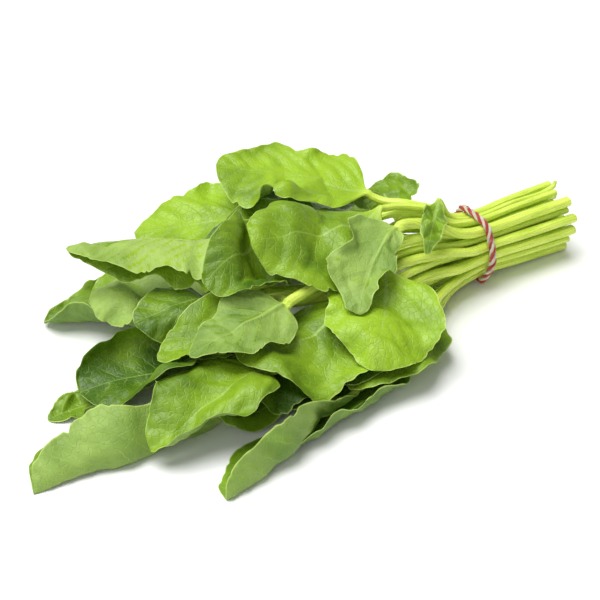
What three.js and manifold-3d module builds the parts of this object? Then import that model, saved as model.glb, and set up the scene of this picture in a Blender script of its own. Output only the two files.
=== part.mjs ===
// A bunch of spinach lying on its side: long-stemmed leaves held by one turn of two-colour twine.
// Millimetres, +Z up. The stems run along X, with the cut ends at +X and the leaf tips at -X.
import * as THREE from "three";
import Module from "manifold-3d";

const wasm = await Module();
wasm.setup();

// The bundle of stems at the tie: rows from the bottom up, then squeezed together.
const stemsPerRow = [3, 4, 5, 6, 5, 4, 3, 1];
const stemPitch = 5.5;
const rowPitch = stemPitch * Math.sin(Math.PI / 3);
const tieHeight = 18.6;
const stemRadii = [2.5, 1.9, 2.3, 1.7];
const slimStemRadius = 1.2;
const slimHookHeight = 3;
const squeezeSteps = 500;
const squeezeRepeats = 6;
const squeezeDraw = 0.02;
const squeezeGap = 0.42;

// The stems past the tie: they sink to the table and spread a little before the cut.
const cutX = 49;
const cutHeight = 16.6;
const cutSpread = 1.16;
const cutFlatten = 1.08;

// The stems on the leaf side stay straight as far as this, then each bends to its own blade.
const bendX = -9;
const bendHeight = 19.4;
const bendSpread = 1.12;

// The twine: one round strand pulled round the stems, with a small knot and two ends at the back.
const twineRadius = 1.6;
const twineGap = 0.3;
const twineSegments = 56;
const twineSides = 8;
const knotAngle = 0.3;
const knotRadius = 3.2;
const tailRadius = 1.5;
const tailDrops = [13, 17];
const tailSpread = 4.5;

// The blades
const bladeThickness = 0.8;
const leafGap = 1.0;
const stemGap = 0.4;
const petioleRings = 7;
const stemChecks = 10;
const bladeStations = [0.03, 0.1, 0.19, 0.29, 0.39, 0.49, 0.59, 0.69, 0.78, 0.86, 0.93, 0.985];
const acrossStations = [0, 0.38, 0.7, 1];
const foldRound = 0.25;
const sideShift = 1.9;

// The settling grid: each leaf is laid on the ones below it.
const cell = 2;
const gridMin = [-300, -150];
const gridCount = [190, 160];
const drapeReach = 9;
const settlePasses = 4;
const settledWithin = 0.1;

// Each leaf, from the bottom of the heap to the top.
// slot: row and place in the row at the tie; base and tip: the two ends of the midrib;
// bow: how far the midrib arches up, and sweep: how far it swings to its own left;
// width: half the blade; shape: where it is widest, and how blunt it is (smaller is blunter);
// roll: turn about the midrib at base and tip, 180 being underside up;
// fold: how far each half is folded up, left then right; close: share of the fold at base and tip;
// curl: how far each half keeps curving to its edge; edge: how far the last part of the edge rolls over;
// wave: height, number and phase of the ruffles; sag: how far the blade may drop on to what is under it.
const leaves = [
  { name: "leaf_01", slot: [0, 0], base: [-62, -40, 7], tip: [-146, -63, 2], bow: 1, sweep: 3, width: 15,
    shape: [0.45, 0.6], roll: [0, 0], fold: [60, 0], close: [0.4, 1], curl: [20, 5], edge: [0, 0],
    wave: [1.4, 4, 0.6], sag: 6, cut: 2 },
  { name: "leaf_02", slot: [0, 1], base: [-150, -28, 7], tip: [-241, -25, 2], bow: 1, sweep: 3, width: 31,
    shape: [0.6, 0.45], roll: [0, 0], fold: [140, 5], close: [0.8, 1], curl: [5, 5], edge: [10, 0],
    wave: [1, 3, 1.1], sag: 6, cut: -3 },
  { name: "leaf_03", slot: [0, 2], base: [-85, 38, 7], tip: [-152, 92, 2], bow: 3, sweep: 4, width: 26,
    shape: [0.4, 0.65], roll: [0, 0], fold: [5, 10], close: [1, 1], curl: [10, 10], edge: [0, 0],
    wave: [1.5, 3, 2.4], sag: 8, cut: 1 },

  { name: "leaf_04", slot: [1, 0], base: [-95, -46, 9], tip: [-179, -71, 2], bow: 1, sweep: 3, width: 19,
    shape: [0.66, 0.5], roll: [0, 0], fold: [112, 0], close: [0.7, 1], curl: [10, 0], edge: [0, 0],
    wave: [1.0, 3, 0.2], sag: 6, cut: 0 },
  { name: "leaf_05", slot: [1, 1], base: [-88, -28, 13], tip: [-166, -33, 8], bow: 2, sweep: 4,
    shape: [0.5, 0.55], roll: [0, 0], fold: [0, 0], close: [1, 1], curl: [-15, 0], edge: [0, 0],
    width: [12, 21], wave: [1.6, 4, 1.7], sag: 10, cut: 3 },
  { name: "leaf_06", slot: [1, 2], base: [-132, 30, 10], tip: [-183, 76, 6], bow: 3, sweep: -4, width: 20,
    shape: [0.5, 0.6], roll: [0, 20], fold: [25, 30], close: [0.6, 1], curl: [30, 40], edge: [20, 20],
    wave: [2, 4, 0.4], sag: 4, cut: -2 },
  { name: "leaf_07", slot: [1, 3], base: [-50, 34, 12], tip: [-88, 104, 2], bow: 5, sweep: 5, width: 25,
    shape: [0.4, 0.65], roll: [0, 0], fold: [5, 5], close: [1, 1], curl: [10, 15], edge: [0, 0],
    wave: [1.5, 3, 1.3], sag: 8, cut: 2 },

  { name: "leaf_08", slot: [2, 0], base: [-40, -24, 13], tip: [-103, -49, 5], bow: 2, sweep: 4, width: 18,
    shape: [0.5, 0.6], roll: [0, 0], fold: [0, 0], close: [1, 1], curl: [-10, 5], edge: [0, 0],
    wave: [1.8, 4, 0.9], sag: 10, cut: -1 },
  { name: "leaf_09", slot: [2, 1], base: [-95, -20, 16], tip: [-157, -31, 9], bow: 2, sweep: 0, width: 23,
    shape: [0.45, 0.6], roll: [0, 0], fold: [0, 0], close: [1, 1], curl: [-5, 5], edge: [0, 0],
    wave: [1.4, 3, 2.2], sag: 10, cut: 1 },
  { name: "leaf_10", slot: [2, 2], base: [-176, 12, 9], tip: [-214, 14, 8], bow: 2, sweep: 0, width: 9,
    shape: [0.5, 0.6], roll: [0, 0], fold: [10, 10], close: [1, 1], curl: [15, 15], edge: [0, 0],
    wave: [1.8, 4, 0.1], sag: 10, cut: -4 },
  { name: "leaf_11", slot: [2, 3], base: [-108, 44, 13], tip: [-165, 66, 9], bow: 3, sweep: 0, width: 20,
    shape: [0.45, 0.65], roll: [0, 0], fold: [5, 5], close: [1, 1], curl: [10, 10], edge: [0, 0],
    wave: [1.5, 3, 2.9], sag: 10, cut: 2 },
  { name: "leaf_12", slot: [2, 4], base: [-42, 32, 17], tip: [-46, 98, 3], bow: 6, sweep: 3, width: 25,
    shape: [0.4, 0.65], roll: [0, 0], fold: [5, 5], close: [1, 1], curl: [10, 10], edge: [0, 0],
    wave: [1.8, 3, 0.7], sag: 10, cut: 0 },

  { name: "leaf_13", slot: [3, 0], base: [-66, -20, 20], tip: [-104, -48, 12], bow: 3, sweep: 0, width: 17,
    shape: [0.5, 0.6], roll: [0, 0], fold: [0, 0], close: [1, 1], curl: [-10, 5], edge: [0, 0],
    wave: [1.5, 3, 1.9], sag: 12, cut: 1 },
  { name: "leaf_14", slot: [3, 1], base: [-130, -30, 17], tip: [-193, -36, 3], bow: 2, sweep: 2, width: 27,
    shape: [0.45, 0.6], roll: [5, 5], fold: [52, 30], close: [0.25, 1], curl: [20, 5], edge: [20, 0],
    wave: [0.8, 3, 0.3], sag: 10, cut: -2 },
  { name: "leaf_15", slot: [3, 2], base: [-122, -7, 22], tip: [-197, 17, 12], bow: 2, sweep: -3, width: 27,
    shape: [0.55, 0.5], roll: [0, 0], fold: [-5, 15], close: [1, 1], curl: [5, 80], edge: [0, 60],
    wave: [0.8, 3, 1.2], sag: 10, cut: 3 },
  { name: "leaf_16", slot: [3, 3], base: [-122, 28, 28], tip: [-171, 52, 20], bow: 3, sweep: 0, width: 23,
    shape: [0.5, 0.55], roll: [170, 180], fold: [-5, -5], close: [1, 1], curl: [-10, -10], edge: [0, 0],
    wave: [1, 3, 0.5], sag: 10, cut: 0 },
  { name: "leaf_17", slot: [3, 4], base: [-70, 53, 33], tip: [-127, 90, 26], bow: 3, sweep: 3,
    shape: [0.4, 0.6], roll: [-4, -4], fold: [0, 5], close: [1, 1], curl: [5, 15], edge: [0, 0],
    width: [24, 26], wave: [1.6, 3, 1.0], sag: 4, cut: -3 },
  { name: "leaf_18", slot: [3, 5], base: [-48, 30, 26], tip: [-64, 88, 10], bow: 6, sweep: 0, width: 24,
    shape: [0.4, 0.65], roll: [0, 0], fold: [5, 5], close: [1, 1], curl: [10, 5], edge: [0, 0],
    wave: [1.6, 3, 2.0], sag: 10, cut: 1 },

  { name: "leaf_19", slot: [4, 0], base: [-80, -14, 27], tip: [-142, -21, 14], bow: 4, sweep: 7, width: 31,
    shape: [0.45, 0.55], roll: [0, 0], fold: [-5, 0], close: [1, 1], curl: [-10, 5], edge: [0, 0],
    wave: [1.2, 3, 0.8], sag: 14, cut: 2 },
  { name: "leaf_20", slot: [4, 1], base: [-98, 4, 30], tip: [-168, 18, 27], bow: 2, sweep: -3, width: 18,
    shape: [0.5, 0.55], roll: [0, 0], fold: [0, 10], close: [1, 1], curl: [5, 10], edge: [0, 0],
    wave: [1.8, 4, 1.5], sag: 10, cut: -1 },
  { name: "leaf_21", slot: [4, 2], base: [-104, -3, 33], tip: [-171, -6, 28], bow: 2, sweep: 0, width: 17,
    shape: [0.45, 0.65], roll: [0, 0], fold: [5, 15], close: [1, 1], curl: [5, 10], edge: [0, 0],
    wave: [0.8, 3, 2.6], sag: 8, cut: 0 },
  { name: "leaf_22", slot: [4, 3], base: [-64, 16, 36], tip: [-112, 54, 32], bow: 3, sweep: 0,
    shape: [0.45, 0.6], roll: [0, 0], fold: [25, 20], close: [0.6, 1], curl: [25, 25], edge: [0, 20],
    width: [18, 24], wave: [2.4, 4, 0.2], sag: 5, cut: 3 },
  { name: "leaf_23", slot: [4, 4], base: [-29, 21, 28], tip: [-27, 47, 31], bow: 4, sweep: -3, width: 17,
    shape: [0.5, 0.6], roll: [0, 10], fold: [10, 20], close: [1, 1], curl: [20, 40], edge: [0, 0],
    wave: [1.6, 3, 1.4], sag: 0, cut: -2 },

  { name: "leaf_24", slot: [5, 0], base: [-58, -12, 34], tip: [-95, -53, 12], bow: 5, sweep: 2, width: 27,
    shape: [0.45, 0.6], roll: [0, 0], fold: [0, 0], close: [1, 1], curl: [-5, 5], edge: [0, 0],
    wave: [1.0, 3, 1.6], sag: 12, cut: 1 },
  { name: "leaf_25", slot: [5, 1], base: [-108, -10, 34], tip: [-161, -15, 23], bow: 2, sweep: 2, width: 18,
    shape: [0.4, 0.65], roll: [165, 185], fold: [-5, -5], close: [1, 1], curl: [-10, -10], edge: [0, 0],
    wave: [0.8, 3, 0.4], sag: 10, cut: -3 },
  { name: "leaf_27", slot: [5, 3], base: [-107, 29, 47], tip: [-173, 68, 48], bow: 2, sweep: -3,
    shape: [0.36, 0.6], roll: [-22, -18], fold: [-5, 168], close: [1, 1], curl: [0, 0], edge: [0, 0],
    width: [28, 42], wave: [0.9, 3, 0.6], sag: 6, cut: 0 },
  { name: "leaf_26", slot: [5, 2], base: [-92, 24, 36], tip: [-139, 8, 24], bow: 3, sweep: 2,
    shape: [0.5, 0.55], roll: [-8, -8], fold: [15, 20], close: [0.6, 1], curl: [15, 25], edge: [0, 0],
    width: [21, 12], wave: [0.8, 3, 1.8], sag: 8, cut: 2 },

  { name: "leaf_29", slot: [6, 1], base: [-44, 10, 42], tip: [-114, 10, 36], bow: 6, sweep: 2,
    shape: [0.5, 0.5], roll: [0, 0], fold: [-26, -5], close: [1, 1], curl: [-15, -5], edge: [0, 0],
    width: [31, 24], wave: [1.0, 3, 2.1], sag: 8, cut: -1 },
  { name: "leaf_28", slot: [6, 0], base: [-44, -3, 45], tip: [-86, -31, 30], bow: 6, sweep: -3,
    shape: [0.5, 0.5], roll: [165, 185], fold: [-10, -5], close: [1, 1], curl: [-15, -15], edge: [0, 0],
    width: [19, 9], wave: [2.2, 4, 0.9], sag: 6, cut: 1, lobes: 0.2 },
  { name: "leaf_30", slot: [6, 2], base: [-38, 26, 43], tip: [-88, 80, 50], bow: 2, sweep: -2,
    shape: [0.45, 0.55], roll: [0, 0], fold: [-6, 5], close: [1, 1], curl: [-10, 0], edge: [0, 0],
    width: [34, 25], wave: [1.6, 3, 0.3], sag: 0, cut: 2, lobes: 0.12 },
  { name: "leaf_31", slot: [7, 0], base: [-18, 3, 45], tip: [-41, -19, 38], bow: 2, sweep: 0, width: 6,
    shape: [0.5, 0.6], roll: [0, 0], fold: [0, 10], close: [1, 1], curl: [10, 10], edge: [0, 0],
    wave: [0.6, 2, 0.2], sag: 0, cut: 0, slim: true },
];

const rad = THREE.MathUtils.degToRad;
const lerp = THREE.MathUtils.lerp;
const smooth = THREE.MathUtils.smoothstep;

function stemRadiusOf(leaf) {
  return leaf.slim ? slimStemRadius : leaf.stem ?? stemRadii[leaves.indexOf(leaf) % stemRadii.length];
}

// Where the stems lie at the tie: they start in rows, are drawn to the middle and push each other apart.
function squeezedStems() {
  const middleRow = (stemsPerRow.length - 1) / 2;
  const stems = leaves.map((leaf) => {
    const [row, place] = leaf.slot;
    return {
      y: (place - (stemsPerRow[row] - 1) / 2) * stemPitch,
      z: (row - middleRow + 0.5) * rowPitch,
      r: stemRadiusOf(leaf),
    };
  });
  for (let step = 0; step < squeezeSteps; step++) {
    const draw = squeezeDraw * (1 - step / squeezeSteps);
    for (const stem of stems) {
      stem.y -= stem.y * draw;
      stem.z -= stem.z * draw;
    }
    for (let repeat = 0; repeat < squeezeRepeats; repeat++) {
      stems.forEach((a, i) => {
        for (const b of stems.slice(i + 1)) {
          const dy = b.y - a.y;
          const dz = b.z - a.z;
          const apart = Math.hypot(dy, dz);
          const push = (a.r + b.r + squeezeGap - apart) / 2;
          if (push > 0) {
            a.y -= (dy / apart) * push;
            a.z -= (dz / apart) * push;
            b.y += (dy / apart) * push;
            b.z += (dz / apart) * push;
          }
        }
      });
    }
  }
  return new Map(leaves.map((leaf, i) => [leaf, [stems[i].y, stems[i].z]]));
}

const stemPlaces = squeezedStems();

function slotAt(leaf) {
  return stemPlaces.get(leaf);
}

// The straight part of a stem: the whole bundle spreads and drops a little on both sides of the tie.
function bundlePoint(leaf, x) {
  const [y, z] = slotAt(leaf);
  if (x >= 0) {
    const f = x / cutX;
    const height = lerp(tieHeight, cutHeight, f) + z * lerp(1, cutFlatten, f);
    return new THREE.Vector3(x, y * lerp(1, cutSpread, f), height);
  }
  const f = x / bendX;
  const spread = lerp(1, bendSpread, f);
  return new THREE.Vector3(x, y * spread, lerp(tieHeight, bendHeight, f) + z * spread);
}

// The midrib of a blade is one smooth arch from base to tip.
function midribCurve(leaf) {
  const base = new THREE.Vector3(...leaf.base);
  const tip = new THREE.Vector3(...leaf.tip);
  const along = tip.clone().sub(base).normalize();
  const left = new THREE.Vector3(-along.y, along.x, 0).normalize();
  const middle = base.clone().add(tip).multiplyScalar(0.5);
  middle.addScaledVector(left, leaf.sweep * 2);
  middle.z += leaf.bow * 2;
  return new THREE.QuadraticBezierCurve3(base, middle, tip);
}

// The bend from the bundle to the blade base.
function bendCurve(leaf, midrib) {
  const start = bundlePoint(leaf, bendX);
  const before = bundlePoint(leaf, bendX / 2);
  const end = midrib.getPoint(0);
  const reach = start.distanceTo(end) / 3;
  const leave = start.clone().sub(before).normalize();
  const arrive = midrib.getTangent(0);
  const first = start.clone().addScaledVector(leave, reach);
  const second = end.clone().addScaledVector(arrive, -reach);
  return new THREE.CubicBezierCurve3(start, first, second, end);
}

// Left and up at a point of a stem or midrib, turned about it by the roll.
function frameAt(along, roll) {
  const left = new THREE.Vector3(-along.y, along.x, 0).normalize();
  const up = along.clone().cross(left);
  const c = Math.cos(roll);
  const s = Math.sin(roll);
  return {
    left: left.clone().multiplyScalar(c).addScaledVector(up, s),
    up: up.clone().multiplyScalar(c).addScaledVector(left, -s),
  };
}

// Half the width of the blade along its length: broad shoulders and a rounded point.
// Small lobes, different on each side, keep the outline from being even.
function halfWidth(leaf, side) {
  return Array.isArray(leaf.width) ? leaf.width[side] : leaf.width;
}

function widthAt(leaf, t, side) {
  const [widest, blunt] = leaf.shape;
  const half = halfWidth(leaf, side);
  const lobe = Math.sin(Math.PI * 2 * (2.4 * t + leaf.wave[2] * 0.7 + side * 0.37));
  const oval = Math.sin(Math.PI * t ** (Math.log(0.5) / Math.log(widest))) ** blunt;
  return half * oval * (1 + (leaf.lobes ?? 0.07) * lobe);
}

// Twelve points round a stem or across a blade: seven over the top from left to right, five back underneath.
const ringPlaces = [];
for (const s of [...acrossStations].reverse()) {
  ringPlaces.push({ s, top: true });
}
for (const s of acrossStations.slice(1)) {
  ringPlaces.push({ s: -s, top: true });
}
for (const s of acrossStations.slice(0, -1).reverse()) {
  ringPlaces.push({ s: -s, top: false });
}
for (const s of acrossStations.slice(1, -1)) {
  ringPlaces.push({ s, top: false });
}

function stemRing(centre, along, roll, radius) {
  const { left, up } = frameAt(along, roll);
  return ringPlaces.map((_, i) => {
    const a = (i / ringPlaces.length) * Math.PI * 2;
    return centre.clone()
      .addScaledVector(left, Math.cos(a) * radius)
      .addScaledVector(up, Math.sin(a) * radius);
  });
}

// A point on the middle surface of the blade and the direction out of its upper side.
function bladePoint(leaf, midrib, t, s) {
  const spread = smooth(t, 0, 0.16) * lerp(leaf.close[0], leaf.close[1], smooth(t, 0, 0.8));
  const centre = midrib.getPoint(t);
  const roll = rad(lerp(leaf.roll[0], leaf.roll[1], smooth(t, 0, 1)));
  const { left, up } = frameAt(midrib.getTangent(t), roll);
  const side = s < 0 ? 1 : 0;
  const sign = s < 0 ? -1 : 1;
  const half = widthAt(leaf, t, side);
  const share = Math.min(1, half / halfWidth(leaf, side));
  const steps = 12;
  let out = 0;
  let rise = 0;
  let angle = 0;
  for (let i = 0; i < steps; i++) {
    const f = ((i + 0.5) / steps) * Math.abs(s);
    const curled = leaf.curl[side] * f + leaf.edge[side] * smooth(f, 0.66, 1);
    angle = rad(leaf.fold[side] * spread * smooth(f, 0, foldRound) + curled * share);
    out += (Math.cos(angle) * half * Math.abs(s)) / steps;
    rise += (Math.sin(angle) * half * Math.abs(s)) / steps;
  }
  const [height, count, phase] = leaf.wave;
  const turn = Math.PI * 2 * (count * t + phase) + side * sideShift;
  const ruffle = height * s * s * Math.sin(turn) * Math.sin(Math.PI * t);
  if (s === 0) {
    // At the midrib the upper side faces halfway between the two halves.
    angle = rad(((leaf.fold[0] - leaf.fold[1]) / 2) * spread);
  }
  const normal = up.clone().multiplyScalar(Math.cos(angle)).addScaledVector(left, -sign * Math.sin(angle));
  const point = centre.addScaledVector(left, sign * out).addScaledVector(up, rise);
  point.addScaledVector(normal, ruffle);
  return { point, normal };
}

// Across the blade: thickest at the midrib and thin at the edge. The stem flattens into it.
function bladeRing(leaf, midrib, t, radius) {
  const round = stemRing(midrib.getPoint(t), midrib.getTangent(t), rad(leaf.roll[0]), radius);
  const flat = smooth(t, 0, 0.14);
  return ringPlaces.map(({ s, top }, i) => {
    const { point, normal } = bladePoint(leaf, midrib, t, s);
    const rib = (1 - Math.abs(s)) * (1 - t) * radius * 0.5;
    const under = Math.abs(s) === 1 ? 0 : bladeThickness / 2;
    point.addScaledVector(normal, top ? under : -under - rib);
    return round[i].lerp(point, flat);
  });
}

// All rings of one leaf, from the cut end of the stem to the tip of the blade.
function leafRings(leaf) {
  const midrib = midribCurve(leaf);
  const bend = bendCurve(leaf, midrib);
  const radius = stemRadiusOf(leaf);
  const rings = [];
  const end = cutX + leaf.cut;
  const back = new THREE.Vector3(-1, 0, 0);
  let first = bundlePoint(leaf, end);
  if (leaf.slim) {
    const hookTop = first.clone().add(new THREE.Vector3(radius * 1.6, 0, slimHookHeight));
    const hookSide = first.clone().add(new THREE.Vector3(radius * 1.2, 0, slimHookHeight * 0.35));
    rings.push(stemRing(hookTop, new THREE.Vector3(-0.1, 0, -1).normalize(), 0, radius * 0.8));
    rings.push(stemRing(hookSide, new THREE.Vector3(-0.7, 0, -0.7).normalize(), 0, radius));
    first = hookTop;
  }
  for (const x of [leaf.slim ? end - radius : end, end * 0.5, 0]) {
    rings.push(stemRing(bundlePoint(leaf, x), back, 0, radius));
  }
  const straightRings = rings.length;
  for (let i = 0; i < petioleRings; i++) {
    const f = i / (petioleRings - 1);
    const roll = rad(leaf.roll[0]) * smooth(f, 0.1, 1);
    rings.push(stemRing(bend.getPoint(f), bend.getTangent(f), roll, radius));
  }
  const bladeStart = rings.length - 1;
  for (const t of bladeStations) {
    rings.push(bladeRing(leaf, midrib, t, radius));
  }
  return { rings, radius, straightRings, bladeStart, first, last: midrib.getPoint(1) };
}

// The settling grid
const cells = gridCount[0] * gridCount[1];
const bladeTop = new Float64Array(cells);
const stemTop = new Float64Array(cells);
const settledStems = [];

function cellOf(x, y) {
  const i = Math.floor((x - gridMin[0]) / cell);
  const j = Math.floor((y - gridMin[1]) / cell);
  return i + gridCount[0] * j;
}

// Calls visit(cell, z) for points spread closely over the triangle.
function sampleTriangle(a, b, c, visit) {
  const longest = Math.max(a.distanceTo(b), b.distanceTo(c), c.distanceTo(a));
  const n = Math.max(1, Math.ceil(longest / 0.7));
  for (let i = 0; i <= n; i++) {
    for (let j = 0; j <= n - i; j++) {
      const u = i / n;
      const v = j / n;
      const w = 1 - u - v;
      visit(cellOf(a.x * w + b.x * u + c.x * v, a.y * w + b.y * u + c.y * v), a.z * w + b.z * u + c.z * v);
    }
  }
}

function sampleLeaf(shape, visit) {
  const { rings, straightRings, bladeStart, last } = shape;
  const n = ringPlaces.length;
  for (let r = straightRings - 1; r < rings.length; r++) {
    for (let i = 0; i < n; i++) {
      const a = rings[r][i];
      const b = rings[r][(i + 1) % n];
      const isBlade = r >= bladeStart + 1;
      const next = r + 1 < rings.length ? rings[r + 1] : null;
      const c = next ? next[i] : last;
      sampleTriangle(a, b, c, (k, z) => visit(k, z, isBlade));
      if (next) {
        sampleTriangle(b, next[(i + 1) % n], c, (k, z) => visit(k, z, isBlade));
      }
    }
  }
}

// Points close together down the middle of the bent part of a stem.
function stemLine(shape) {
  const middles = shape.rings.slice(shape.straightRings, shape.bladeStart + 1).map((ring) => {
    const sum = ring.reduce((total, p) => total.add(p), new THREE.Vector3());
    return sum.divideScalar(ring.length);
  });
  const line = [];
  for (let i = 0; i + 1 < middles.length; i++) {
    for (let j = 0; j < stemChecks; j++) {
      line.push(middles[i].clone().lerp(middles[i + 1], j / stemChecks));
    }
  }
  return [...line, middles[middles.length - 1]];
}

// How far round a place the leaf bends as one: little at the bundle, broadly in the blade.
function reachAt(x, pass) {
  return Math.min(drapeReach, Math.max(2.5, 2.5 + (bendX - 6 - x) * 0.5)) + pass * 4;
}

function middleOf(i, j) {
  return [gridMin[0] + (i + 0.5) * cell, gridMin[1] + (j + 0.5) * cell];
}

// How far each place of the leaf has to rise to clear what is below it; less than nothing where it may drop.
function riseNeeded(leaf, shape, pass) {
  const need = new Map();
  const low = new Map();
  sampleLeaf(shape, (k, z, isBlade) => {
    const key = isBlade ? k : k + cells;
    if (!low.has(key) || low.get(key) > z) {
      low.set(key, z);
    }
  });
  const raise = (k, d) => {
    if (!need.has(k) || need.get(k) < d) {
      need.set(k, d);
    }
  };
  for (const [key, z] of low) {
    const k = key % cells;
    const [x] = middleOf(k % gridCount[0], 0);
    const under = key < cells ? Math.max(bladeTop[k], stemTop[k]) : bladeTop[k];
    const sag = pass ? 0 : -leaf.sag * smooth(-x, 25, 90);
    raise(k, Math.max(-z, under > 0 ? under + leafGap - z : -1e3, sag));
  }
  for (const p of stemLine(shape)) {
    if (p.x > bendX - 1) {
      continue;
    }
    for (const other of settledStems) {
      for (const q of other.line) {
        const clear = shape.radius + other.radius + stemGap;
        const across = Math.hypot(p.x - q.x, p.y - q.y);
        if (across < clear) {
          raise(cellOf(p.x, p.y), q.z + Math.sqrt(clear * clear - across * across) - p.z);
        }
      }
    }
  }
  return need;
}

// Spreads the rise needed at single places into one smooth rise that is nowhere less than it.
function smoothRise(need, pass) {
  const places = [...need].map(([k, d]) => ({ i: k % gridCount[0], j: Math.floor(k / gridCount[0]), d }));
  const worst = new Map();
  const rises = new Map();
  const remember = (map, i, j, work) => {
    const key = i + gridCount[0] * j;
    if (!map.has(key)) {
      map.set(key, work());
    }
    return map.get(key);
  };
  const worstNear = (i, j) => remember(worst, i, j, () => {
    const r = reachAt(middleOf(i, j)[0], pass) / cell;
    const near = places.filter((p) => (p.i - i) ** 2 + (p.j - j) ** 2 <= r * r);
    return near.reduce((most, p) => Math.max(most, p.d), -Infinity);
  });
  const riseOfCell = (i, j) => remember(rises, i, j, () => {
    const r = (reachAt(middleOf(i, j)[0], pass) * 0.55) / cell;
    const n = Math.ceil(r);
    let sum = 0;
    let count = 0;
    for (let a = -n; a <= n; a++) {
      for (let b = -n; b <= n; b++) {
        const w = a * a + b * b <= r * r ? worstNear(i + a, j + b) : -Infinity;
        if (w > -Infinity) {
          sum += w;
          count++;
        }
      }
    }
    return count ? sum / count : 0;
  });
  return (p) => {
    const x = (p.x - gridMin[0]) / cell - 0.5;
    const y = (p.y - gridMin[1]) / cell - 0.5;
    const i = Math.floor(x);
    const j = Math.floor(y);
    const bottom = lerp(riseOfCell(i, j), riseOfCell(i + 1, j), x - i);
    const top = lerp(riseOfCell(i, j + 1), riseOfCell(i + 1, j + 1), x - i);
    return lerp(bottom, top, y - j) * smooth(bendX + 3 - p.x, 0, 8);
  };
}

// Lays a leaf on the heap, without changing its outline from above.
function settle(leaf, shape) {
  for (let pass = 0; pass < settlePasses; pass++) {
    const need = riseNeeded(leaf, shape, pass);
    if (pass && Math.max(...need.values()) <= settledWithin) {
      break;
    }
    const rise = smoothRise(need, pass);
    const moved = [...shape.rings.slice(shape.straightRings).flat(), shape.last];
    for (const p of moved) {
      p.z += rise(p);
    }
  }
  sampleLeaf(shape, (k, z, isBlade) => {
    const top = isBlade ? bladeTop : stemTop;
    top[k] = Math.max(top[k], z);
  });
  settledStems.push({ radius: shape.radius, line: stemLine(shape) });
}

// One closed skin over a row of rings with a point at each end.
function skin(rings, first, last) {
  const n = rings[0].length;
  const points = [first, ...rings.flat(), last];
  const faces = [];
  const at = (r, i) => 1 + r * n + (i % n);
  for (let i = 0; i < n; i++) {
    faces.push(0, at(0, i + 1), at(0, i));
    faces.push(points.length - 1, at(rings.length - 1, i), at(rings.length - 1, i + 1));
    for (let r = 0; r + 1 < rings.length; r++) {
      const corners = [at(r, i), at(r, i + 1), at(r + 1, i + 1), at(r + 1, i)];
      // The same diagonal over and under a blade keeps its two sides apart where it twists.
      const [a, b, c, d] = i < n / 2 ? corners : [corners[3], ...corners.slice(0, 3)];
      faces.push(a, b, d, b, c, d);
    }
  }
  const geometry = new THREE.BufferGeometry();
  geometry.setAttribute("position", new THREE.Float32BufferAttribute(points.flatMap((p) => p.toArray()), 3));
  geometry.setIndex(faces);
  geometry.computeVertexNormals();
  return geometry;
}

// A tube along a line of points, closed into a ring when asked.
function tube(points, radius, closed) {
  const rings = points.map((p, i) => {
    const before = points[closed ? (i + points.length - 1) % points.length : Math.max(0, i - 1)];
    const after = points[closed ? (i + 1) % points.length : Math.min(points.length - 1, i + 1)];
    const along = after.clone().sub(before).normalize();
    const out = new THREE.Vector3(1, 0, 0).addScaledVector(along, -along.x).normalize();
    const up = along.clone().cross(out);
    return Array.from({ length: twineSides }, (_, k) => {
      const a = (k / twineSides) * Math.PI * 2;
      return p.clone().addScaledVector(out, Math.cos(a) * radius).addScaledVector(up, Math.sin(a) * radius);
    });
  });
  return closed ? ringSkin(rings) : skin(rings, points[0], points[points.length - 1]);
}

function ringSkin(rings) {
  const n = rings[0].length;
  const faces = [];
  const at = (r, i) => (r % rings.length) * n + (i % n);
  for (let r = 0; r < rings.length; r++) {
    for (let i = 0; i < n; i++) {
      faces.push(at(r, i), at(r, i + 1), at(r + 1, i));
      faces.push(at(r, i + 1), at(r + 1, i + 1), at(r + 1, i));
    }
  }
  const geometry = new THREE.BufferGeometry();
  const places = rings.flat().flatMap((p) => p.toArray());
  geometry.setAttribute("position", new THREE.Float32BufferAttribute(places, 3));
  geometry.setIndex(faces);
  return geometry;
}

// The twine follows the stems it binds: the furthest stem in each direction holds it out.
function twinePoints() {
  const centre = new THREE.Vector2(0, tieHeight);
  const support = (a) => {
    let most = 0;
    for (const leaf of leaves) {
      const [y, z] = slotAt(leaf);
      most = Math.max(most, y * Math.cos(a) + z * Math.sin(a) + stemRadiusOf(leaf));
    }
    return most + twineGap + twineRadius;
  };
  const points = [];
  const step = 0.02;
  for (let i = 0; i < twineSegments; i++) {
    const a = (i / twineSegments) * Math.PI * 2;
    const h = support(a);
    const slope = (support(a + step) - support(a - step)) / (2 * step);
    const y = centre.x + h * Math.cos(a) - slope * Math.sin(a);
    const z = centre.y + h * Math.sin(a) + slope * Math.cos(a);
    points.push(new THREE.Vector3(0, y, z));
  }
  return points;
}

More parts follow.
